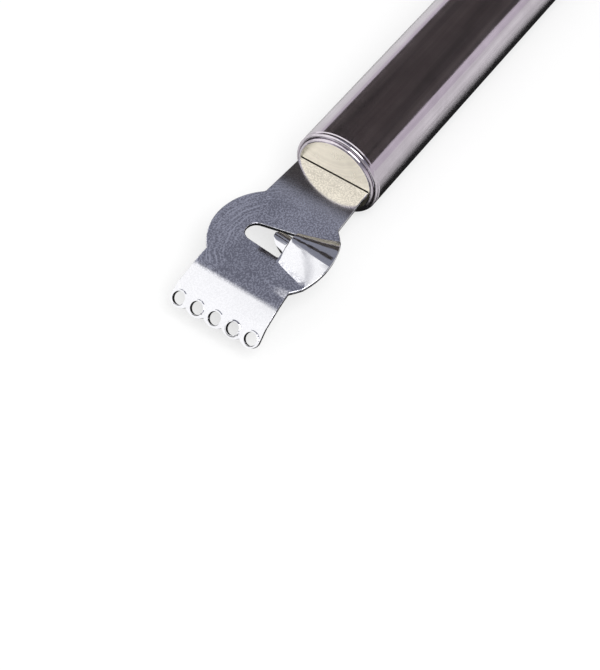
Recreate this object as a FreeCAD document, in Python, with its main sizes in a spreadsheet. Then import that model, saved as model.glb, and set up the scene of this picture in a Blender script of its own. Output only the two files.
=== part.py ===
import FreeCAD, Part
import math
import os

import Sketcher

# Citrus zester: a bent sheet blade held in the slit of a capped round handle.
# It lies on its handle. +X runs from the handle to the scalloped tip, +Z is up.
# The pieces are drawn with x = 0 on the front face of the handle's cap, y = 0 on
# the plane that halves the tool and z = 0 in the middle of the sheet.

sizes = {
    # Blade sheet, seen from above
    "sheetThickness": 1.0,
    "lobeReach": 24.9,
    "lobeDiameter": 30.0,
    "neckMouthInset": 0.3,
    "neckLobeWidth": 19.8,
    "neckCornerRadius": 1.2,
    "tipRootWidth": 22.0,
    "tipCornerRadius": 0.6,
    # Tang inside the handle
    "shoulderDepth": 1.6,
    "tangWidth": 12.0,
    "tangLength": 24.0,
    # Bends of the tip, seen from the side
    "bendOnset": 7.6,
    "bendRadius": 24.0,
    "bendAngle": 19.0,
    "slopeLength": 4.08,
    "curlRadius": 2.5,
    "landAngle": 42.0,
    "landToHoles": 2.5,
    # Row of cutting holes and the scallops round them
    "holeCount": 5,
    "holePitch": 4.8,
    "holeDiameter": 3.1,
    "scallopRim": 0.6,
    "scallopRadius": 3.6,
    "tipSideRim": 0.55,
    "tipEndRadius": 2.2,
    "burrHeight": 0.35,
    "burrFootWidth": 0.42,
    "burrTopWidth": 0.12,
    # Channel slot, from the middle of the lobe
    "slotEndRadius": 2.65,
    "slotEndSide": 4.5,
    "slotMouthSide": 3.9,
    "slotMouthFront": 3.4,
    "slotMouthRear": 4.8,
    "slotCornerRadius": 0.8,
    # Ridge that opens from the slot's mouth to the lobe's edge
    "ridgeFootFront": 4.6,
    "ridgeFootRear": 4.8,
    "ridgeHeight": 2.6,
    "ridgeCrestRear": 1.9,
    "ridgeCrestRadius": 4.0,
    "edgeRidgeHeight": 2.4,
    "edgeCrestRear": 4.2,
    "edgeCrestRadius": 20.0,
    "edgeFootFront": 8.6,
    "edgeFootRear": 10.4,
    # Cutting lip over the slot
    "lipRadius": 3.0,
    "lipRear": 0.4,
    "lipHeight": 2.4,
    "lipOverhang": 4.1,
    "lipWall": 0.6,
    "lipRoot": 0.8,
    "lipSink": 0.5,
    # Handle tube, with a bead rolled at its mouth
    "tubeDiameter": 22.1,
    "tubeWall": 0.85,
    "tubeLength": 108.0,
    "tubeMouthRadius": 0.55,
    "tubeRearBevel": 0.4,
    "tubeInnerBevel": 0.15,
    "beadWidth": 0.65,
    "grooveWidth": 0.7,
    "grooveFloor": 0.3,
    "grooveDepth": 0.2,
    # Caps pressed into the tube, the front one with a slit for the blade
    "capFit": 0.05,
    "capWall": 0.7,
    "capDepth": 8.0,
    "capEdgeRadius": 0.65,
    "endCapBevel": 0.9,
    "slitGap": 0.3,
    "slitFit": 0.05,
    # How far a cutting shape runs past what it cuts
    "cutMargin": 1.0,
    "cutDepth": 8.0,
}


class Formula:
    # A number together with the sheet expression that gives it

    def __init__(self, text, value):
        self.text = text
        self.value = value

    def joined(self, sign, other, value):
        return Formula("(" + self.text + " " + sign + " " + formula(other).text + ")", value)

    def __add__(self, other):
        return self.joined("+", other, self.value + formula(other).value)

    def __sub__(self, other):
        return self.joined("-", other, self.value - formula(other).value)

    def __mul__(self, other):
        return self.joined("*", other, self.value * formula(other).value)

    def __truediv__(self, other):
        return self.joined("/", other, self.value / formula(other).value)

    def __neg__(self):
        return formula(0) - self


def formula(number):
    if isinstance(number, Formula):
        return number
    return Formula(str(number), number)


def size(name):
    return Formula("Sizes." + name, float(sizes[name]))


def sine(angle):
    return Formula("sin(" + angle.text + ")", math.sin(math.radians(angle.value)))


def cosine(angle):
    return Formula("cos(" + angle.text + ")", math.cos(math.radians(angle.value)))


def arcCosine(ratio):
    return Formula("acos(" + ratio.text + ")", math.degrees(math.acos(ratio.value)))


def direction(across, along):
    # Angle of a line that rises by across over a run of along
    return Formula("atan2(" + across.text + "; " + along.text + ")",
                   math.degrees(math.atan2(across.value, along.value)))


def root(number):
    return Formula("sqrt(" + number.text + ")", math.sqrt(number.value))


def otherSide(longSide, shortSide):
    # The third side of a right-angled triangle
    return root(longSide * longSide - shortSide * shortSide)


class Drawing:
    # A sketch on one of the body's own planes, moved and turned by formulas

    def __init__(self, body, name, plane, offset=(0, 0, 0), turnAxis=None, turn=None):
        self.sketch = body.newObject("Sketcher::SketchObject", name)
        self.sketch.AttachmentSupport = [(originPart(body, plane), "")]
        self.sketch.MapMode = "FlatFace"
        if turnAxis:
            rotation = FreeCAD.Rotation(FreeCAD.Vector(*turnAxis), turn.value)
            self.sketch.AttachmentOffset = FreeCAD.Placement(FreeCAD.Vector(), rotation)
            self.sketch.setExpression("AttachmentOffset.Rotation.Angle", turn.text)
        for axis, shift in zip("xyz", offset):
            self.sketch.setExpression("AttachmentOffset.Base." + axis, formula(shift).text)

    def bind(self, kind, references, wanted):
        index = self.sketch.addConstraint(Sketcher.Constraint(kind, *references, wanted.value))
        self.sketch.setExpression("Constraints[" + str(index) + "]", wanted.text)

    def pin(self, geometry, end, corner):
        self.bind("DistanceX", (-1, 1, geometry, end), formula(corner[0]))
        self.bind("DistanceY", (-1, 1, geometry, end), formula(corner[1]))

    def outline(self, corners):
        # Closes an outline through the corners. A corner (x, y) is reached by a line,
        # and a corner (x, y, radius) by an arc that turns left, or right if the radius
        # is negative
        ends = []
        for here, there in zip(corners, corners[1:] + corners[:1]):
            start = FreeCAD.Vector(formula(here[0]).value, formula(here[1]).value)
            finish = FreeCAD.Vector(formula(there[0]).value, formula(there[1]).value)
            if len(there) == 2:
                line = self.sketch.addGeometry(Part.LineSegment(start, finish))
                ends.append((line, 1, 2))
            else:
                ends.append(self.arc(start, finish, there[2]))
            index, first, last = ends[-1]
            self.pin(index, last, there)
        for (index, first, last), (following, begin, _) in zip(ends, ends[1:] + ends[:1]):
            joint = Sketcher.Constraint("Coincident", index, last, following, begin)
            self.sketch.addConstraint(joint)
        return self.sketch

    def arc(self, start, finish, radius):
        # The short arc between two points, with the index of its first and last end
        turnsLeft = radius.value > 0
        chord = finish - start
        rise = math.sqrt(radius.value ** 2 - (chord.Length / 2) ** 2)
        side = FreeCAD.Vector(-chord.y, chord.x).normalize()
        centre = (start + finish) / 2 + side * (rise if turnsLeft else -rise)
        angles = [math.atan2(end.y - centre.y, end.x - centre.x) for end in (start, finish)]
        if not turnsLeft:
            angles.reverse()
        whole = Part.Circle(centre, FreeCAD.Vector(0, 0, 1), abs(radius.value))
        index = self.sketch.addGeometry(Part.ArcOfCircle(whole, *angles))
        self.bind("Radius", (index,), radius if turnsLeft else -radius)
        return (index, 1, 2) if turnsLeft else (index, 2, 1)

    def circle(self, centre, radius):
        middle = FreeCAD.Vector(formula(centre[0]).value, formula(centre[1]).value)
        index = self.sketch.addGeometry(Part.Circle(middle, FreeCAD.Vector(0, 0, 1), radius.value))
        self.pin(index, 3, centre)
        self.bind("Radius", (index,), radius)
        return self.sketch


def fillSheet():
    sheet = doc.addObject("Spreadsheet::Sheet", "Sizes")
    for row, (name, value) in enumerate(sizes.items(), start=1):
        sheet.set("A" + str(row), name)
        sheet.set("B" + str(row), str(value))
        sheet.setAlias("B" + str(row), name)


def newBody(name):
    body = doc.addObject("PartDesign::Body", name)
    body.Label = name
    body.setExpression("Placement.Base.x", capToMiddle.text)
    body.setExpression("Placement.Base.z", (size("tubeDiameter") / 2).text)
    return body


def originPart(body, role):
    return [part for part in body.Origin.OriginFeatures if part.Role == role][0]


def extrude(body, kind, name, sketch, length=None):
    # Goes the same way to both sides of the sketch, through all with no length
    feature = body.newObject("PartDesign::" + kind, name)
    feature.Profile = sketch
    feature.SideType = "Symmetric"
    if length:
        feature.setExpression("Length", length.text)
    else:
        feature.Type = "ThroughAll"
    return feature


def loft(body, kind, name, sections):
    feature = body.newObject("PartDesign::" + kind, name)
    feature.Profile = sections[0]
    feature.Sections = sections[1:]
    feature.Ruled = True
    return feature


def revolve(body, name, sketch, axis):
    feature = body.newObject("PartDesign::Revolution", name)
    feature.Profile = sketch
    feature.ReferenceAxis = (sketch, [axis])
    feature.Angle = 360
    return feature


def roundEdges(body, name, base, wanted, radius):
    # Rounds the edges of the base whose every point passes the test
    doc.recompute()
    picked = []
    for index, edge in enumerate(base.Shape.Edges, start=1):
        points = [vertex.Point for vertex in edge.Vertexes]
        if all(wanted(point) for point in points):
            picked.append("Edge" + str(index))
    feature = body.newObject("PartDesign::Fillet", name)
    feature.Base = (base, picked)
    feature.setExpression("Radius", radius.text)
    return feature


def near(number, wanted):
    return abs(number - wanted.value) < 0.001


# Places that several pieces share
sheet = size("sheetThickness")
halfSheet = sheet / 2
lobeMiddle = size("lobeReach")
lobeRadius = size("lobeDiameter") / 2
tubeRadius = size("tubeDiameter") / 2
capRadius = tubeRadius - size("tubeWall") - size("capFit")
faceRadius = capRadius - size("capEdgeRadius")
neckMouth = faceRadius - size("neckMouthInset")
tubeFront = -size("capEdgeRadius")
tubeRear = tubeFront - size("tubeLength")
margin = size("cutMargin")

# Middle of the sheet along the tip: bend, slope, curl and land
bend = size("bendAngle")
land = size("landAngle")
bendStart = (lobeMiddle + size("bendOnset"), formula(0))
bendEnd = (bendStart[0] + size("bendRadius") * sine(bend),
           size("bendRadius") * cosine(bend) - size("bendRadius"))
slopeEnd = (bendEnd[0] + size("slopeLength") * cosine(bend),
            bendEnd[1] - size("slopeLength") * sine(bend))
curlEnd = (slopeEnd[0] + size("curlRadius") * (sine(land) - sine(bend)),
           slopeEnd[1] - size("curlRadius") * (cosine(bend) - cosine(land)))


def alongLand(distance):
    return (curlEnd[0] + distance * cosine(land), curlEnd[1] - distance * sine(land))


def fromMiddle(place, angle, distance):
    # A point at a distance from the middle of the sheet, on its upper side
    return (place[0] + distance * sine(angle), place[1] + distance * cosine(angle))


holeRadius = size("holeDiameter") / 2
scallopReach = holeRadius + size("scallopRim")
holeLine = alongLand(size("landToHoles"))
sheetEnd = alongLand(size("landToHoles") + scallopReach + margin)
firstHole = size("holePitch") * (size("holeCount") - 1) / 2
tipEnd = firstHole + holeRadius + size("tipSideRim")

# The tool's middle lies between the tip and the rear cap's face
foremost = fromMiddle(alongLand(size("landToHoles") + scallopReach), land, halfSheet)
rearmost = tubeRear - size("endCapBevel")
capToMiddle = -(foremost[0] + rearmost) / 2


def bentSheet(body):
    flat = formula(0)
    rear = (-size("tangLength"), formula(0))
    bendOut = -(size("bendRadius") + halfSheet)
    curlOut = -(size("curlRadius") + halfSheet)
    drawing = Drawing(body, "sheetSide", "XZ_Plane")
    outline = drawing.outline([
        fromMiddle(rear, flat, halfSheet),
        fromMiddle(bendStart, flat, halfSheet),
        (*fromMiddle(bendEnd, bend, halfSheet), bendOut),
        fromMiddle(slopeEnd, bend, halfSheet),
        (*fromMiddle(curlEnd, land, halfSheet), curlOut),
        fromMiddle(sheetEnd, land, halfSheet),
        fromMiddle(sheetEnd, land, -halfSheet),
        fromMiddle(curlEnd, land, -halfSheet),
        (*fromMiddle(slopeEnd, bend, -halfSheet), size("curlRadius") - halfSheet),
        fromMiddle(bendEnd, bend, -halfSheet),
        (*fromMiddle(bendStart, flat, -halfSheet), size("bendRadius") - halfSheet),
        fromMiddle(rear, flat, -halfSheet),
    ])
    return extrude(body, "Pad", "bentSheet", outline, (lobeRadius + margin) * 2)


def ridgeSection(body, name, side, foot, crest, height, radius, drop, base):
    # A straight front flank, a round crest and a steep rear flank over the feet
    front, rear = foot
    level = halfSheet - drop
    run = front + crest
    fall = radius - height
    reach = root(run * run + fall * fall)
    turn = direction(fall, run) + arcCosine(radius / reach)
    tangent = (lobeMiddle - crest + radius * cosine(turn),
               level - fall + radius * sine(turn))
    rearRun = rear - crest
    rearRadius = (rearRun * rearRun + height * height) / (height * 2)
    return Drawing(body, name, "XZ_Plane", (0, 0, -side)).outline([
        (lobeMiddle + front, base),
        (lobeMiddle + front, level),
        tangent,
        (lobeMiddle - crest, level + height, radius),
        (lobeMiddle - rear, level, rearRadius),
        (lobeMiddle - rear, base),
    ])


def ridge(body, kind, name, drop, base):
    mouth = ridgeSection(
        body, name + "Mouth", size("slotMouthSide"),
        (size("ridgeFootFront"), size("ridgeFootRear")), size("ridgeCrestRear"),
        size("ridgeHeight"), size("ridgeCrestRadius"), drop, base)
    edge = ridgeSection(
        body, name + "Edge", lobeRadius + margin,
        (size("edgeFootFront"), size("edgeFootRear")), size("edgeCrestRear"),
        size("edgeRidgeHeight"), size("edgeCrestRadius"), drop, base)
    return loft(body, kind, name, [mouth, edge])


def lipSection(body, name, side, top, radius, base):
    middle = lobeMiddle - size("lipRear")
    level = top - size("lipRadius")
    return Drawing(body, name, "XZ_Plane", (0, 0, -side)).outline([
        (middle + radius, base),
        (middle + radius, level),
        (middle, level + radius, radius),
        (middle - radius, level, radius),
        (middle - radius, base),
    ])


def lip(body, kind, name, radius, base):
    top = halfSheet + size("lipHeight")
    frontSide = size("slotMouthSide") - size("lipOverhang") - halfSheet
    rearSide = size("slotMouthSide") + size("lipRoot")
    front = lipSection(body, name + "Front", frontSide, top, radius, base)
    rear = lipSection(body, name + "Rear", rearSide, top - size("lipSink"), radius, base)
    return loft(body, kind, name, [front, rear])


def raiseChannel(body):
    # Outer skins of the ridge and the lip, then the space under them
    lipBase = -(halfSheet + size("lipSink"))
    spaceBase = lipBase - sheet
    ridge(body, "AdditiveLoft", "ridge", formula(0), -halfSheet)
    lip(body, "AdditiveLoft", "lip", size("lipRadius"), lipBase)
    ridge(body, "SubtractiveLoft", "ridgeSpace", sheet, spaceBase)
    lip(body, "SubtractiveLoft", "lipSpace", size("lipRadius") - size("lipWall"), spaceBase)
    # The lip's edge leans over the slot, so all in front of a slanting plane goes
    mouth = size("slotMouthSide")
    height = size("lipHeight") + margin
    lean = size("lipOverhang") / size("lipHeight")
    away = mouth - height * lean
    outline = Drawing(
        body, "lipEdge", "YZ_Plane", (0, 0, lobeMiddle - size("lipRear"))).outline([
            (mouth, halfSheet),
            (away, halfSheet + height),
            (away - size("lipOverhang"), halfSheet + height),
            (away - size("lipOverhang"), halfSheet),
        ])
    extrude(body, "Pocket", "lipCut", outline, (size("lipRadius") + margin) * 2)


def slotSide(run):
    # Where the slot's side touches its round end, for a mouth that runs out this far
    rise = size("slotMouthSide") + size("slotEndSide")
    reach = root(rise * rise + run * run)
    turn = direction(rise, run) - arcCosine(size("slotEndRadius") / reach)
    return (size("slotEndRadius") * cosine(turn),
            size("slotEndRadius") * sine(turn) - size("slotEndSide"))


def cutSlot(body):
    frontSide = slotSide(size("slotMouthFront"))
    rearSide = slotSide(size("slotMouthRear"))
    corner = (lobeMiddle + size("slotMouthFront"), size("slotMouthSide"))
    # The front corner is round, and its arc starts and ends this far from it
    lean = direction(corner[0] - lobeMiddle - frontSide[0], corner[1] - frontSide[1])
    halfCorner = (direction(formula(1), formula(0)) - lean) / 2
    reach = size("slotCornerRadius") * cosine(halfCorner) / sine(halfCorner)
    depth = sheet + size("lipSink") + sheet
    outline = Drawing(
        body, "slotOutline", "XY_Plane", (0, 0, halfSheet - depth / 2)).outline([
            (lobeMiddle - size("slotMouthRear"), size("slotMouthSide")),
            (lobeMiddle - rearSide[0], rearSide[1]),
            (lobeMiddle + frontSide[0], frontSide[1], size("slotEndRadius")),
            (corner[0] - reach * sine(lean), corner[1] - reach * cosine(lean)),
            (corner[0] - reach, corner[1], size("slotCornerRadius")),
        ])
    extrude(body, "Pocket", "slot", outline, depth)


def trimSheet(body):
    # Everything outside the blade's outline, on one side and then on the other
    neckLobe = size("neckLobeWidth") / 2
    tipRoot = size("tipRootWidth") / 2
    neckEnd = lobeMiddle - otherSide(lobeRadius, neckLobe)
    tipStart = lobeMiddle + otherSide(lobeRadius, tipRoot)
    tang = size("tangWidth") / 2
    rear = -size("tangLength") - margin
    front = sheetEnd[0] + margin
    outside = lobeRadius + margin * 2
    outline = Drawing(body, "sheetWaste", "XY_Plane").outline([
        (rear, tang),
        (-size("shoulderDepth"), tang),
        (-size("shoulderDepth"), neckMouth),
        (formula(0), neckMouth),
        (neckEnd, neckLobe),
        (tipStart, tipRoot, -lobeRadius),
        (holeLine[0], tipEnd),
        (front, tipEnd),
        (front, outside),
        (rear, outside),
    ])
    trim = extrude(body, "Pocket", "trim", outline)
    mirrored = body.newObject("PartDesign::Mirrored", "trimMirrored")
    mirrored.Originals = [trim]
    mirrored.MirrorPlane = (originPart(body, "XZ_Plane"), [""])
    body.Tip = mirrored

    def atNeck(point):
        return near(point.x, neckEnd) and near(abs(point.y), neckLobe)

    def atTip(point):
        return near(point.x, tipStart) and near(abs(point.y), tipRoot)

    necks = roundEdges(body, "neckCorners", mirrored, atNeck, size("neckCornerRadius"))
    roundEdges(body, "tipCorners", necks, atTip, size("tipCornerRadius"))


def cutTip(body):
    # Shallow scallops in front of the holes, then a raised burr and a hole, repeated
    overLand = (holeLine[0], 0, holeLine[1])
    pitch = size("holePitch")
    radius = size("scallopRadius")
    tipCorner = size("tipEndRadius")
    notch = scallopReach - radius + otherSide(radius, pitch / 2)
    corners = [(formula(0), -(tipEnd + margin)), (formula(0), -tipEnd)]
    corners.append((scallopReach, -firstHole, tipCorner))
    for step in range(1, sizes["holeCount"]):
        corners.append((notch, pitch * (step - 0.5) - firstHole, radius))
        corners.append((scallopReach, pitch * step - firstHole, radius))
    corners.append((formula(0), tipEnd, tipCorner))
    corners.append((formula(0), tipEnd + margin))
    corners.append((scallopReach + margin * 2, tipEnd + margin))
    corners.append((scallopReach + margin * 2, -(tipEnd + margin)))
    waste = Drawing(body, "scallops", "XY_Plane", overLand, (0, 1, 0), land).outline(corners)
    extrude(body, "Pocket", "scallopCut", waste, size("cutDepth"))

    foot = holeRadius + size("burrFootWidth")
    top = holeRadius + size("burrTopWidth")
    height = halfSheet + size("burrHeight")
    section = Drawing(
        body, "burrSection", "XZ_Plane", (holeLine[0], holeLine[1], firstHole),
        (0, 0, 1), -land).outline([
            (formula(0), formula(0)),
            (foot, formula(0)),
            (foot, halfSheet),
            (top, height),
            (formula(0), height),
        ])
    burr = revolve(body, "burr", section, "V_Axis")
    round_ = Drawing(body, "holeOutline", "XY_Plane", overLand, (0, 1, 0), land)
    circle = round_.circle((0, -firstHole), holeRadius)
    bore = extrude(body, "Pocket", "hole", circle, size("cutDepth"))
    row = body.newObject("PartDesign::LinearPattern", "holeRow")
    row.Originals = [burr, bore]
    row.Direction = (originPart(body, "Y_Axis"), [""])
    row.setExpression("Length", (firstHole * 2).text)
    row.setExpression("Occurrences", size("holeCount").text)
    body.Tip = row


def makeBlade():
    body = newBody("blade")
    bentSheet(body)
    raiseChannel(body)
    cutSlot(body)
    trimSheet(body)
    cutTip(body)
    return body


def makeFrontCap():
    body = newBody("front_cap")
    edge = size("capEdgeRadius")
    wall = size("capWall")
    rear = -size("capDepth")
    section = Drawing(body, "capSection", "XY_Plane").outline([
        (formula(0), formula(0)),
        (formula(0), faceRadius),
        (-edge, capRadius, edge),
        (rear, capRadius),
        (rear, capRadius - wall),
        (-wall, capRadius - wall),
        (-wall, formula(0)),
    ])
    revolve(body, "cup", section, "H_Axis")
    # The blade rests on the slit's lower side, and its upper side stands off
    low = -(halfSheet + size("slitFit"))
    high = halfSheet + size("slitGap")
    wide = neckMouth + size("slitFit")
    slit = Drawing(body, "slitOutline", "YZ_Plane").outline([
        (-wide, low), (wide, low), (wide, high), (-wide, high)])
    extrude(body, "Pocket", "slit", slit, (size("shoulderDepth") + margin) * 2)
    return body


def makeHandleTube():
    body = newBody("handle_tube")
    inner = tubeRadius - size("tubeWall")
    mouthRadius = size("tubeMouthRadius")
    rearBevel = size("tubeRearBevel")
    innerBevel = size("tubeInnerBevel")
    # The groove behind the mouth makes the bead stand out
    groove = tubeFront - size("beadWidth")
    grooveSide = (size("grooveWidth") - size("grooveFloor")) / 2
    grooveRadius = tubeRadius - size("grooveDepth")
    section = Drawing(body, "tubeSection", "XY_Plane").outline([
        (tubeFront, inner + innerBevel),
        (tubeFront, tubeRadius - mouthRadius),
        (tubeFront - mouthRadius, tubeRadius, mouthRadius),
        (groove, tubeRadius),
        (groove - grooveSide, grooveRadius),
        (groove - grooveSide - size("grooveFloor"), grooveRadius),
        (groove - size("grooveWidth"), tubeRadius),
        (tubeRear + rearBevel, tubeRadius),
        (tubeRear, tubeRadius - rearBevel),
        (tubeRear, inner + innerBevel),
        (tubeRear + innerBevel, inner),
        (tubeFront - innerBevel, inner),
    ])
    revolve(body, "tube", section, "H_Axis")
    return body


def makeEndCap():
    # A cup like the front cap, with no slit and a bevelled edge
    body = newBody("end_cap")
    wall = size("capWall")
    front = tubeRear + size("capDepth")
    section = Drawing(body, "endCapSection", "XY_Plane").outline([
        (front, capRadius),
        (tubeRear, capRadius),
        (rearmost, capRadius - size("endCapBevel")),
        (rearmost, formula(0)),
        (rearmost + wall, formula(0)),
        (rearmost + wall, capRadius - wall),
        (front, capRadius - wall),
    ])
    revolve(body, "endCup", section, "H_Axis")
    return body


def check(bodies):
    for thing in doc.Objects:
        if "Invalid" in thing.State or "Error" in thing.State:
            raise RuntimeError(thing.Name + " failed: " + ", ".join(thing.State))
    for body in bodies:
        if body.Shape.isNull() or not body.Shape.isValid() or len(body.Shape.Solids) != 1:
            raise RuntimeError(body.Label + " is not one sound solid")


doc = FreeCAD.newDocument("citrusZester")
fillSheet()
doc.recompute()
bodies = [makeBlade(), makeFrontCap(), makeHandleTube(), makeEndCap()]
doc.recompute()
check(bodies)
os.makedirs("parts", exist_ok=True)
for body in bodies:
    body.Shape.exportStep("parts/" + body.Label + ".step")
    box = body.Shape.BoundBox
    print(body.Label, "volume", round(body.Shape.Volume, 1), "faces", len(body.Shape.Faces),
          "box", [round(edge, 2) for edge in
                  (box.XMin, box.YMin, box.ZMin, box.XMax, box.YMax, box.ZMax)])
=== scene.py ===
import math
import bpy
from mathutils import Matrix, Vector


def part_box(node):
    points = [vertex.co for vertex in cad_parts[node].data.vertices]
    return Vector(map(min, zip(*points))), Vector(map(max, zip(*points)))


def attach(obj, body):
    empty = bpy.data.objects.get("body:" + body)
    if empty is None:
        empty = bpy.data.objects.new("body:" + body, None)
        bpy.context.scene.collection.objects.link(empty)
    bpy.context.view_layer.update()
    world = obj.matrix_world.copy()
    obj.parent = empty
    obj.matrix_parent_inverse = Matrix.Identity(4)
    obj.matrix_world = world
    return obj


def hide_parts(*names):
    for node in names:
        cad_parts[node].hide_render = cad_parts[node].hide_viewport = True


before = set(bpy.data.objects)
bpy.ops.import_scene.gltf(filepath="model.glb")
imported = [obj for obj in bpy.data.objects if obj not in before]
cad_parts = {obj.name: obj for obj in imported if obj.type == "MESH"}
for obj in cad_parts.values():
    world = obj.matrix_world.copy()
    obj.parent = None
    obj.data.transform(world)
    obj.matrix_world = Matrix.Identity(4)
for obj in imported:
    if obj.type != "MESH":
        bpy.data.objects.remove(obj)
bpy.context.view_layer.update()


# Places taken from the frame

tubeLow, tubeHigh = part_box("handle_tube")
capLow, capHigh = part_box("front_cap")
endLow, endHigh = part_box("end_cap")
axisHeight = (tubeLow.z + tubeHigh.z) / 2
tubeRadius = (tubeHigh.z - tubeLow.z) / 2
capRadius = (capHigh.z - capLow.z) / 2


# Small helpers for modelling

meshing = {
    "mergeDistance": 0.000002,
    "smoothAngle": 32,
}


def deselectAll():
    for item in bpy.context.selected_objects:
        item.select_set(False)


def pickPiece(piece):
    deselectAll()
    piece.select_set(True)
    bpy.context.view_layer.objects.active = piece


def settlePlace(piece):
    pickPiece(piece)
    bpy.ops.object.transform_apply(location=True, rotation=True, scale=True)


def applyModifier(piece, kind, **values):
    pickPiece(piece)
    modifier = piece.modifiers.new(kind.title(), kind)
    for key, value in values.items():
        setattr(modifier, key, value)
    bpy.ops.object.modifier_apply(modifier=modifier.name)


def shadeSmooth(piece):
    # Round stretches shade smoothly, and flat faces stay flat up to their edges
    pickPiece(piece)
    bpy.ops.object.shade_smooth_by_angle(angle=math.radians(meshing["smoothAngle"]))
    applyModifier(piece, "WEIGHTED_NORMAL", keep_sharp=True)


def roundCorner(centreX, centreRadius, size, fromDegrees, toDegrees, steps):
    # Stations along a round edge; 0 degrees faces outward, 90 degrees faces along +X
    stations = []
    for step in range(steps + 1):
        turn = math.radians(fromDegrees + (toDegrees - fromDegrees) * step / steps)
        stations.append((centreX + size * math.sin(turn), centreRadius + size * math.cos(turn)))
    return stations


def turnedPiece(name, stations, sides, closed):
    # A ring is extruded from station to station, each a place along X and a radius
    deselectAll()
    firstX, firstRadius = stations[0]
    bpy.ops.mesh.primitive_circle_add(
        vertices=sides, radius=firstRadius, fill_type="NOTHING" if closed else "NGON",
        location=(firstX, 0, axisHeight), rotation=(0, math.pi / 2, 0))
    piece = bpy.context.object
    piece.name = name
    settlePlace(piece)
    bpy.ops.object.mode_set(mode="EDIT")
    bpy.ops.mesh.select_all(action="SELECT")
    route = stations + stations[:1] if closed else stations
    for (startX, startRadius), (endX, endRadius) in zip(route, route[1:]):
        bpy.ops.mesh.extrude_region_move(TRANSFORM_OT_translate={"value": (endX - startX, 0, 0)})
        spread = endRadius / startRadius
        bpy.ops.transform.resize(value=(1, spread, spread), center_override=(endX, 0, axisHeight))
    bpy.ops.mesh.select_all(action="SELECT")
    bpy.ops.mesh.remove_doubles(threshold=meshing["mergeDistance"])
    bpy.ops.mesh.normals_make_consistent(inside=False)
    bpy.ops.object.mode_set(mode="OBJECT")
    return piece


# Small helpers for material nodes

def newMaterial(name):
    material = bpy.data.materials.new(name)
    material.use_nodes = True
    return material, material.node_tree, material.node_tree.nodes["Principled BSDF"]


def addNode(tree, kind, **values):
    node = tree.nodes.new(kind)
    for key, value in values.items():
        setattr(node, key, value)
    return node


def linkNodes(tree, source, output, target, socket):
    tree.links.new(source.outputs[output], target.inputs[socket])


def feedSocket(tree, socket, value):
    # The value is a pair of node and output, or else a plain number or colour
    if isinstance(value, tuple) and isinstance(value[0], bpy.types.Node):
        tree.links.new(value[0].outputs[value[1]], socket)
    else:
        socket.default_value = value


def addNoise(tree, source, output, scale, detail, roughness=0.5, distortion=0.0):
    noise = addNode(tree, "ShaderNodeTexNoise")
    noise.inputs["Scale"].default_value = scale
    noise.inputs["Detail"].default_value = detail
    noise.inputs["Roughness"].default_value = roughness
    noise.inputs["Distortion"].default_value = distortion
    linkNodes(tree, source, output, noise, "Vector")
    return noise


def addRange(tree, source, output, low, high, outLow, outHigh):
    mapRange = addNode(tree, "ShaderNodeMapRange")
    for socket, value in (("From Min", low), ("From Max", high), ("To Min", outLow), ("To Max", outHigh)):
        mapRange.inputs[socket].default_value = value
    linkNodes(tree, source, output, mapRange, "Value")
    return mapRange


def addMath(tree, operation, first, second):
    node = addNode(tree, "ShaderNodeMath", operation=operation)
    feedSocket(tree, node.inputs[0], first)
    feedSocket(tree, node.inputs[1], second)
    return node


def addMix(tree, factor, colorA, colorB):
    # Inputs 6 and 7 of this node are its colours, and output 2 is the mixed colour
    mix = addNode(tree, "ShaderNodeMix", data_type="RGBA")
    feedSocket(tree, mix.inputs["Factor"], factor)
    for place, color in ((6, colorA), (7, colorB)):
        isNode = isinstance(color[0], bpy.types.Node)
        feedSocket(tree, mix.inputs[place], color if isNode else (*color, 1))
    return mix


def addShaderMix(tree, factor, first, second):
    mix = addNode(tree, "ShaderNodeMixShader")
    for place, value in enumerate((factor, first, second)):
        feedSocket(tree, mix.inputs[place], value)
    return mix


def splitPlace(tree, place):
    split = addNode(tree, "ShaderNodeSeparateXYZ")
    linkNodes(tree, place, "Object", split, 0)
    return split


def addArcs(tree, place, centre, stretch, wander, scale, detail):
    # Lines drawn round a centre, which wander by a share of another noise
    shift = addNode(tree, "ShaderNodeMapping")
    shift.inputs["Location"].default_value = [-part for part in centre]
    shift.inputs["Scale"].default_value = stretch
    linkNodes(tree, place, "Object", shift, "Vector")
    ring = addNode(tree, "ShaderNodeVectorMath", operation="LENGTH")
    linkNodes(tree, shift, "Vector", ring, 0)
    noise, share = wander
    drift = addMath(tree, "MULTIPLY", (noise, "Fac"), share)
    radius = addMath(tree, "ADD", (ring, "Value"), (drift, "Value"))
    arcs = addNode(tree, "ShaderNodeTexNoise", noise_dimensions="1D")
    arcs.inputs["Scale"].default_value = scale
    arcs.inputs["Detail"].default_value = detail
    linkNodes(tree, radius, "Value", arcs, "W")
    return arcs


def dressSteel(tree, shader, tone, gloss, height, strength, distance):
    # A metal's colour and roughness, and a bump from a noise
    linkNodes(tree, tone, 2, shader, "Base Color")
    linkNodes(tree, gloss, "Result", shader, "Roughness")
    bump = addNode(tree, "ShaderNodeBump")
    feedSocket(tree, bump.inputs["Strength"], strength)
    bump.inputs["Distance"].default_value = distance
    linkNodes(tree, height, "Fac", bump, "Height")
    linkNodes(tree, bump, "Normal", shader, "Normal")
    shader.inputs["Metallic"].default_value = 1


# Camera, at the photograph's viewing angle

camera = {
    "place": (0.3026, 0.14913, 0.35125),
    "forward": (-0.5328, -0.3017, -0.7906),
    "up": (-0.6375, -0.4714, 0.6094),
    "lens": 107.46,
    "sensor": 36,
    "clipStart": 0.01,
}


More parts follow.
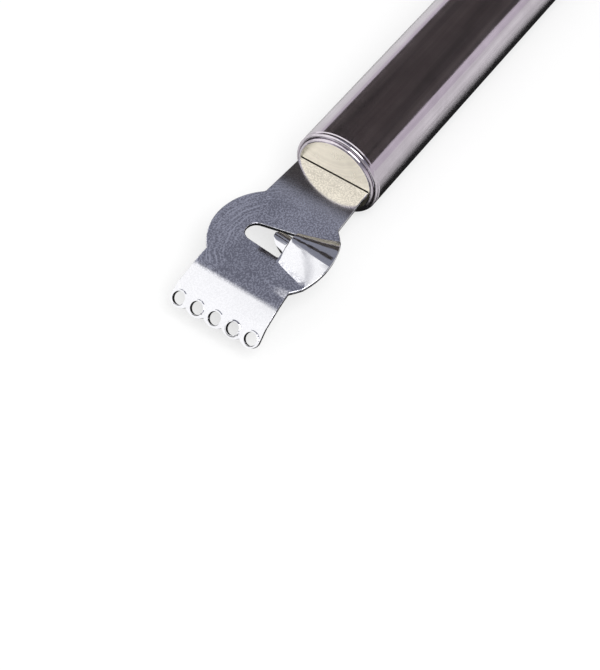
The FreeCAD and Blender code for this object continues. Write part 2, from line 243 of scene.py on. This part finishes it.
def addCamera():
    backward = -Vector(camera["forward"]).normalized()
    right = Vector(camera["up"]).cross(backward).normalized()
    up = backward.cross(right)
    turn = Matrix((right, up, backward)).transposed().to_4x4()
    bpy.ops.object.camera_add()
    eye = bpy.context.object
    eye.name = "photoCamera"
    eye.matrix_world = Matrix.Translation(camera["place"]) @ turn
    eye.data.lens = camera["lens"]
    eye.data.sensor_width = camera["sensor"]
    eye.data.clip_start = camera["clipStart"]
    bpy.context.scene.camera = eye
    print("camera placed")


# Handle tube: polished, with a rounded mouth, a bead and a groove behind it

tube = {
    "wall": 0.00085,
    "mouthRound": 0.00055,
    "innerBevel": 0.00015,
    "beadWidth": 0.00065,
    "grooveWidth": 0.0007,
    "grooveDepth": 0.0002,
    "grooveFloor": 0.0003,
    "rearRound": 0.0004,
    "sides": 192,
    "roundSteps": 8,
    "color": (0.61, 0.565, 0.61),
    "shade": (0.47, 0.43, 0.47),
    "roughness": (0.07, 0.14),
    "streakScale": 900,
    "streakStretch": (0.03, 1, 1),
    "smudgeScale": 90,
    "tint": (0.12, 0.4, 0, 1),
    "bumpStrength": 0.05,
    "bumpDistance": 0.0002,
}


def tubeStations():
    front = tubeHigh.x
    rear = tubeLow.x
    steps = tube["roundSteps"]
    inner = tubeRadius - tube["wall"]
    innerEdge = inner + tube["innerBevel"]
    mouth = tube["mouthRound"]
    back = tube["rearRound"]
    grooveFront = front - tube["beadWidth"]
    grooveRear = grooveFront - tube["grooveWidth"]
    flank = (tube["grooveWidth"] - tube["grooveFloor"]) / 2
    floorRadius = tubeRadius - tube["grooveDepth"]
    stations = [(rear + tube["innerBevel"], inner), (rear, innerEdge)]
    stations += roundCorner(rear + back, tubeRadius - back, back, -90, 0, steps)
    stations += [(grooveRear, tubeRadius), (grooveRear + flank, floorRadius)]
    stations += [(grooveFront - flank, floorRadius), (grooveFront, tubeRadius)]
    stations += roundCorner(front - mouth, tubeRadius - mouth, mouth, 0, 90, steps)
    stations += [(front, innerEdge), (front - tube["innerBevel"], inner)]
    return stations


def polishedSteel():
    # Faint streaks along the tube, dimmed by smudges
    material, tree, shader = newMaterial("mirrorPolishedSteel")
    place = addNode(tree, "ShaderNodeTexCoord")
    stretch = addNode(tree, "ShaderNodeMapping")
    stretch.inputs["Scale"].default_value = tube["streakStretch"]
    linkNodes(tree, place, "Object", stretch, "Vector")
    streaks = addNoise(tree, stretch, "Vector", tube["streakScale"], 3, 0.6)
    smudges = addNoise(tree, place, "Object", tube["smudgeScale"], 3, 0.6, 0.4)
    blend = addMath(tree, "MULTIPLY", (streaks, "Fac"), (smudges, "Fac"))
    amount = addRange(tree, blend, "Value", *tube["tint"])
    tone = addMix(tree, (amount, "Result"), tube["shade"], tube["color"])
    gloss = addRange(tree, smudges, "Fac", 0.3, 0.7, *tube["roughness"])
    dressSteel(tree, shader, tone, gloss, streaks, tube["bumpStrength"], tube["bumpDistance"])
    return material


def addHandleTube(finish):
    piece = turnedPiece("handleTube", tubeStations(), tube["sides"], True)
    shadeSmooth(piece)
    piece.data.materials.append(finish)
    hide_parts("handle_tube")
    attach(piece, "root")
    print("handle tube made")


# Front cap: a shallow cup with a satin face, a rounded edge and a slit for the blade

frontCap = {
    "wall": 0.0007,
    "edgeRound": 0.00065,
    "slitHalfWidth": 0.00925,
    "slitBelow": 0.00055,
    "slitAbove": 0.0008,
    "slitDepth": 0.0021,
    "sides": 160,
    "roundSteps": 8,
    "color": (0.98, 0.91, 0.74),
    "shade": (0.79, 0.73, 0.59),
    "roughness": (0.255, 0.36),
    "arcCentre": (0, -0.004, axisHeight + 0.016),
    "arcScale": 1900,
    "arcDrift": 0.0012,
    "wobbleScale": 120,
    "patchScale": 260,
    "tint": (0.08, 0.42, 0, 1),
    "bumpStrength": 0.05,
    "bumpDistance": 0.0001,
}


def frontCapStations():
    front = capHigh.x
    rear = capLow.x
    edge = frontCap["edgeRound"]
    wall = frontCap["wall"]
    stations = roundCorner(front - edge, capRadius - edge, edge, 90, 0, frontCap["roundSteps"])
    stations += [(rear, capRadius), (rear, capRadius - wall), (front - wall, capRadius - wall)]
    return stations


def cutSlit(piece):
    # A box across the face takes the slit out of it
    above = frontCap["slitAbove"]
    below = frontCap["slitBelow"]
    middle = (capHigh.x, 0, axisHeight + (above - below) / 2)
    deselectAll()
    bpy.ops.mesh.primitive_cube_add(size=1, location=middle)
    cutter = bpy.context.object
    cutter.scale = (frontCap["slitDepth"] * 2, frontCap["slitHalfWidth"] * 2, above + below)
    settlePlace(cutter)
    applyModifier(piece, "BOOLEAN", object=cutter, operation="DIFFERENCE", solver="EXACT")
    bpy.data.objects.remove(cutter)


def satinSteel():
    # Fine arcs left by polishing, drawn around a point beside the face
    material, tree, shader = newMaterial("satinCapSteel")
    place = addNode(tree, "ShaderNodeTexCoord")
    wobble = addNoise(tree, place, "Object", frontCap["wobbleScale"], 3, 0.6)
    wander = (wobble, frontCap["arcDrift"])
    arcs = addArcs(tree, place, frontCap["arcCentre"], (1, 1, 1), wander, frontCap["arcScale"], 3)
    patches = addNoise(tree, place, "Object", frontCap["patchScale"], 4, 0.6)
    blend = addMath(tree, "MULTIPLY", (arcs, "Fac"), (patches, "Fac"))
    amount = addRange(tree, blend, "Value", *frontCap["tint"])
    tone = addMix(tree, (amount, "Result"), frontCap["shade"], frontCap["color"])
    gloss = addRange(tree, patches, "Fac", 0.3, 0.7, *frontCap["roughness"])
    dressSteel(tree, shader, tone, gloss, wobble, frontCap["bumpStrength"], frontCap["bumpDistance"])
    return material


def addFrontCap(edgeFinish):
    piece = turnedPiece("frontCap", frontCapStations(), frontCap["sides"], False)
    cutSlit(piece)
    shadeSmooth(piece)
    piece.data.materials.append(satinSteel())
    # The rounded edge is polished like the tube
    piece.data.materials.append(edgeFinish)
    for face in piece.data.polygons:
        reach = math.hypot(face.center.y, face.center.z - axisHeight)
        face.material_index = 1 if reach > capRadius - frontCap["edgeRound"] else 0
    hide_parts("front_cap")
    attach(piece, "root")
    print("front cap made")


# End cap: a plain flat cup with a bevelled edge

endCap = {
    "wall": 0.0007,
    "bevel": 0.0009,
    "soften": 0.0002,
    "softenDip": 0.00004,
    "sides": 160,
}


def endCapStations():
    # A short slanted step softens the bevel's corners
    rear = endLow.x
    front = endHigh.x
    inner = capRadius - endCap["wall"]
    bevel = endCap["bevel"]
    soften = endCap["soften"]
    dip = endCap["softenDip"]
    stations = [(rear, capRadius - bevel - soften), (rear + dip, capRadius - bevel)]
    stations += [(rear + bevel, capRadius - dip), (rear + bevel + soften, capRadius)]
    stations += [(front, capRadius), (front, inner), (rear + endCap["wall"], inner)]
    return stations


def addEndCap(finish):
    piece = turnedPiece("endCap", endCapStations(), endCap["sides"], False)
    shadeSmooth(piece)
    piece.data.materials.append(finish)
    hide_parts("end_cap")
    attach(piece, "root")
    print("end cap made")


# Blade: the bent sheet, its shape taken over from the frame, its edges softened

blade = {
    "halfSheet": 0.0005,
    "flatTurn": 0.5,
    "edgeRound": 0.00018,
    "edgeSteps": 3,
    "edgeTurn": 50,
    "sharpFromX": 0.0745,
    "color": (0.84, 0.84, 0.89),
    "shade": (0.38, 0.38, 0.42),
    "polished": (0.64, 0.64, 0.66),
    "roughness": (0.085, 0.115),
    "grainScale": 2500,
    "speckles": (0.44, 0.59, 0, 0.85),
    "cloudScale": 180,
    "hazeScale": 85,
    "haze": (0.35, 0.65, -0.19, 0.27),
    "arcCentre": (0.057, 0.004, 0),
    "arcScale": 1700,
    "arcDrift": 0.0022,
    "arcs": (0.48, 0.62, -0.08, 0.9),
    "arcSide": (-0.003, -0.009, 0, 1),
    "patchScale": 230,
    "patches": (0.40, 0.58, 0.1, 1),
    "smoothTip": (0.0695, 0.0707, 0, 0.9),
    "smoothNeck": (0.040, 0.046, 0.5, 0),
    "raisedFrom": 0.0001,
    "raisedTo": 0.0006,
    "raisedSmooth": 0.9,
    "bumpStrength": 0.2,
    "smoothStrength": 0.02,
    "bumpDistance": 0.00002,
}


def scratchedArcs(tree, place, along, clouds):
    # Arcs of fine scratches on one side of the lobe, which come and go in patches
    wander = (clouds, blade["arcDrift"])
    noise = addArcs(tree, place, blade["arcCentre"], (1, 1, 0), wander, blade["arcScale"], 4)
    arcs = addRange(tree, noise, "Fac", *blade["arcs"])
    patches = addNoise(tree, place, "Object", blade["patchScale"], 2, 0.5, 0.6)
    shown = addRange(tree, patches, "Fac", *blade["patches"])
    faded = addMath(tree, "MULTIPLY", (arcs, "Result"), (shown, "Result"))
    side = addRange(tree, along, "Y", *blade["arcSide"])
    return addMath(tree, "MULTIPLY", (faded, "Value"), (side, "Result"))


def smootherParts(tree, along):
    # The bent tip, the ridge and the neck, where the sheet is smoother
    top = axisHeight + blade["halfSheet"]
    low, high = top + blade["raisedFrom"], top + blade["raisedTo"]
    tip = addRange(tree, along, "X", *blade["smoothTip"])
    raised = addRange(tree, along, "Z", low, high, 0, blade["raisedSmooth"])
    neck = addRange(tree, along, "X", *blade["smoothNeck"])
    formed = addMath(tree, "MAXIMUM", (tip, "Result"), (raised, "Result"))
    return addMath(tree, "MAXIMUM", (formed, "Value"), (neck, "Result"))


def bladeSteel():
    # Fine speckled grain, cloudy patches, and faint arcs of scratches round the lobe
    material, tree, shader = newMaterial("satinBladeSteel")
    place = addNode(tree, "ShaderNodeTexCoord")
    along = splitPlace(tree, place)
    grain = addNoise(tree, place, "Object", blade["grainScale"], 2, 0.6)
    clouds = addNoise(tree, place, "Object", blade["cloudScale"], 4, 0.6, 0.3)
    mist = addNoise(tree, place, "Object", blade["hazeScale"], 3, 0.55, 0.5)
    worn = scratchedArcs(tree, place, along, clouds)
    speckles = addRange(tree, grain, "Fac", *blade["speckles"])
    haze = addRange(tree, mist, "Fac", *blade["haze"])
    fine = addMath(tree, "ADD", (speckles, "Result"), (worn, "Value"))
    amount = addMath(tree, "ADD", (fine, "Value"), (haze, "Result"))
    tint = addMix(tree, (amount, "Value"), blade["shade"], blade["color"])
    smooth = smootherParts(tree, along)
    tone = addMix(tree, (smooth, "Value"), (tint, 2), blade["polished"])
    gloss = addRange(tree, clouds, "Fac", 0.3, 0.7, *blade["roughness"])
    depth = addRange(tree, smooth, "Value", 0, 1, blade["bumpStrength"], blade["smoothStrength"])
    dressSteel(tree, shader, tone, gloss, grain, (depth, "Result"), blade["bumpDistance"])
    return material


def softenEdges(piece):
    # Small rounds on the sheet's edges; the sharp rims of the holes stay as they are
    bpy.ops.mesh.select_all(action="DESELECT")
    bpy.ops.mesh.select_mode(type="EDGE")
    bpy.ops.mesh.edges_select_sharp(sharpness=math.radians(blade["edgeTurn"]))
    bpy.ops.object.mode_set(mode="OBJECT")
    points = piece.data.vertices
    for edge in piece.data.edges:
        middle = (points[edge.vertices[0]].co + points[edge.vertices[1]].co) / 2
        if middle.x > blade["sharpFromX"]:
            edge.select = False
    bpy.ops.object.mode_set(mode="EDIT")
    bpy.ops.mesh.bevel(
        offset=blade["edgeRound"], segments=blade["edgeSteps"], profile=0.5, clamp_overlap=False)


def addBlade():
    deselectAll()
    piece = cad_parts["blade"].copy()
    piece.data = piece.data.copy()
    piece.name = "bladeSheet"
    bpy.context.scene.collection.objects.link(piece)
    pickPiece(piece)
    bpy.ops.object.mode_set(mode="EDIT")
    bpy.ops.mesh.select_all(action="SELECT")
    bpy.ops.mesh.remove_doubles(threshold=meshing["mergeDistance"])
    bpy.ops.mesh.dissolve_limited(angle_limit=math.radians(blade["flatTurn"]))
    softenEdges(piece)
    bpy.ops.object.mode_set(mode="OBJECT")
    shadeSmooth(piece)
    piece.data.materials.clear()
    piece.data.materials.append(bladeSteel())
    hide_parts("blade")
    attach(piece, "root")
    print("blade made")


# Floor: pale and lifted to white for the camera; in reflections a painted glow, with painted shade near
# the tool

floor = {
    "size": 3.0,
    "drop": 0.00002,
    "color": (0.82, 0.82, 0.82),
    "roughness": 0.9,
    "lift": 0.66,
    # What follows paints the floor's glow in reflections: shade near the tool, light before the handle's
    # mouth, shade round the lobe
    "nearDistance": 0.05,
    "nearSamples": 8,
    "paintedGlowRamp": (0.83, 0.885, 0.02, 0.95),
    "mouthX": (0.022, 0.030),
    "mouthPaintedLight": 0.14,
    "lobeX": (0.042, 0.050),
    "lobePaintedShade": 0.08,
}


def paintedFloorReflection(tree):
    # What reflections see is a painted glow: painted shade near the tool from ambient occlusion, painted
    # light in front of the handle's mouth, painted shade round the lobe
    paintedContactShade = addNode(tree, "ShaderNodeAmbientOcclusion", samples=floor["nearSamples"])
    paintedContactShade.inputs["Distance"].default_value = floor["nearDistance"]
    along = splitPlace(tree, addNode(tree, "ShaderNodeTexCoord"))
    rearward = addRange(tree, along, "X", *floor["mouthX"], 0, floor["mouthPaintedLight"])
    forward = addRange(tree, along, "X", *floor["lobeX"], floor["mouthPaintedLight"], -floor["lobePaintedShade"])
    ahead = addMath(tree, "MINIMUM", (rearward, "Result"), (forward, "Result"))
    paintedLightLevel = addMath(tree, "ADD", (paintedContactShade, "AO"), (ahead, "Value"))
    pale = addRange(tree, paintedLightLevel, "Value", *floor["paintedGlowRamp"])
    paintedFloorGlow = addNode(tree, "ShaderNodeEmission")
    linkNodes(tree, pale, "Result", paintedFloorGlow, "Color")
    return paintedFloorGlow


def addFloor():
    deselectAll()
    bpy.ops.mesh.primitive_plane_add(size=floor["size"], location=(0, 0, -floor["drop"]))
    ground = bpy.context.object
    ground.name = "studioFloor"
    material, tree, shader = newMaterial("paleFloor")
    shader.inputs["Base Color"].default_value = (*floor["color"], 1)
    shader.inputs["Roughness"].default_value = floor["roughness"]
    glow = addNode(tree, "ShaderNodeEmission")
    paintedFloorGlow = paintedFloorReflection(tree)
    path = addNode(tree, "ShaderNodeLightPath")
    lift = addMath(tree, "MULTIPLY", (path, "Is Camera Ray"), floor["lift"])
    seen = addShaderMix(tree, (lift, "Value"), (shader, "BSDF"), (glow, "Emission"))
    # Glossy rays see the painted glow instead of the lit floor
    whole = addShaderMix(tree, (path, "Is Glossy Ray"), (seen, "Shader"), (paintedFloorGlow, "Emission"))
    linkNodes(tree, whole, "Shader", tree.nodes["Material Output"], "Surface")
    ground.data.materials.append(material)
    print("floor made")


# Cards that only reflections see, which paint dark reflections and a glint there; each with its span
# along X and Y and its height

cards = {
    "wideDark": ((-0.22, -0.006), (-0.4, 0.15), 0.07),
    "narrowDark": ((0.0477, 0.0500), (-0.0075, 0.0115), 0.025),
    # Tones of the painted dark reflection, mottled by a cloud noise
    "dark": (0.05, 0.042, 0.040),
    "pale": (0.095, 0.078, 0.074),
    "cloudScale": 14,
    "roughness": 0.9,
    # The glowing card that paints a glint in reflections
    "bright": ((0.0523, 0.060), (-0.0028, 0.008), 0.04),
    "brightFade": 0.0058,
    "brightGlow": 1.5,
}


def placeCard(name, space, material):
    (lowX, highX), (lowY, highY), height = space
    middle = ((lowX + highX) / 2, (lowY + highY) / 2, height)
    deselectAll()
    bpy.ops.mesh.primitive_plane_add(size=1, location=middle)
    card = bpy.context.object
    card.name = name
    card.scale = (highX - lowX, highY - lowY, 1)
    settlePlace(card)
    card.data.materials.append(material)
    # Only glossy rays see a card, so it lights and shades nothing and only paints what reflections show
    card.visible_camera = False
    card.visible_diffuse = False
    card.visible_shadow = False
    card.visible_transmission = False


def addDarkCards():
    # A wide card over the handle, and a strip over the ridge's crest: painted dark reflections on the
    # handle and the crest
    material, tree, shader = newMaterial("paintedDarkReflection")
    place = addNode(tree, "ShaderNodeTexCoord")
    cloud = addNoise(tree, place, "Object", cards["cloudScale"], 2)
    spread = addRange(tree, cloud, "Fac", 0.35, 0.65, 0, 1)
    tone = addMix(tree, (spread, "Result"), cards["dark"], cards["pale"])
    linkNodes(tree, tone, 2, shader, "Base Color")
    shader.inputs["Roughness"].default_value = cards["roughness"]
    placeCard("wideDarkReflectionCard", cards["wideDark"], material)
    placeCard("narrowDarkReflectionCard", cards["narrowDark"], material)
    print("dark cards made")


def addPaintedGlintCard():
    # A small glowing card over the ridge's end, clear on its near side; it paints a glint into
    # reflections there and lights nothing
    material, tree, shader = newMaterial("paintedGlintGlow")
    along = splitPlace(tree, addNode(tree, "ShaderNodeTexCoord"))
    glow = addNode(tree, "ShaderNodeEmission")
    glow.inputs["Strength"].default_value = cards["brightGlow"]
    clear = addNode(tree, "ShaderNodeBsdfTransparent")
    near = cards["bright"][1][0]
    level = addRange(tree, along, "Y", near, near + cards["brightFade"], 0, 1)
    blend = addShaderMix(tree, (level, "Result"), (clear, "BSDF"), (glow, "Emission"))
    linkNodes(tree, blend, "Shader", tree.nodes["Material Output"], "Surface")
    placeCard("paintedGlintCard", cards["bright"], material)
    print("small reflector made")


# Sky: white where the camera looks; reflections see a bright front, a pale horizon, a dim ceiling

sky = {
    "white": (1.0, 1.0, 1.0),
    "fill": (0.75, 0.75, 0.75),
    "ceiling": (0.31, 0.32, 0.385),
    "horizon": (0.80, 0.75, 0.82),
    "horizonBand": (0.45, 0.25, 0, 1),
    "front": (1.5, 1.5, 1.5),
    "frontWay": (1, -1, 0),
    "frontEdge": (0.305, 0.37, 0, 1),
    "dark": (0.03, 0.03, 0.03),
    "darkEdge": (0.82, 0.87, 0, 1),
}


def addSky():
    world = bpy.data.worlds.new("studioWorld")
    bpy.context.scene.world = world
    world.use_nodes = True
    tree = world.node_tree
    place = addNode(tree, "ShaderNodeTexCoord")
    split = addNode(tree, "ShaderNodeSeparateXYZ")
    linkNodes(tree, place, "Generated", split, 0)
    slant = addNode(tree, "ShaderNodeVectorMath", operation="DOT_PRODUCT")
    linkNodes(tree, place, "Generated", slant, 0)
    slant.inputs[1].default_value = sky["frontWay"]
    front = addRange(tree, slant, "Value", *sky["frontEdge"])
    band = addRange(tree, split, "Z", *sky["horizonBand"])
    edge = addRange(tree, split, "X", *sky["darkEdge"])
    low = addMix(tree, (band, "Result"), sky["ceiling"], sky["horizon"])
    bright = addMix(tree, (front, "Result"), (low, 2), sky["front"])
    mirror = addMix(tree, (edge, "Result"), (bright, 2), sky["dark"])
    path = addNode(tree, "ShaderNodeLightPath")
    shiny = addMix(tree, (path, "Is Glossy Ray"), sky["fill"], (mirror, 2))
    seen = addMix(tree, (path, "Is Camera Ray"), (shiny, 2), sky["white"])
    linkNodes(tree, seen, 2, tree.nodes["Background"], "Color")
    print("sky made")


# Key light: one soft round lamp

keyLight = {
    "place": (0.35, 0.45, 0.9),
    "aim": (0.02, 0, 0.01),
    "size": 0.7,
    "power": 9,
}


def addKeyLight():
    bpy.ops.object.light_add(type="AREA", location=keyLight["place"])
    lamp = bpy.context.object
    lamp.name = "keyLight"
    lamp.data.shape = "DISK"
    lamp.data.size = keyLight["size"]
    lamp.data.energy = keyLight["power"]
    way = Vector(keyLight["aim"]) - Vector(keyLight["place"])
    lamp.rotation_euler = way.to_track_quat("-Z", "Y").to_euler()
    print("key light made")


bpy.context.scene.view_settings.view_transform = "Standard"
mirrorSteel = polishedSteel()
addCamera()
addBlade()
addHandleTube(mirrorSteel)
addFrontCap(mirrorSteel)
addEndCap(mirrorSteel)
addFloor()
addDarkCards()
addPaintedGlintCard()
addSky()
addKeyLight()
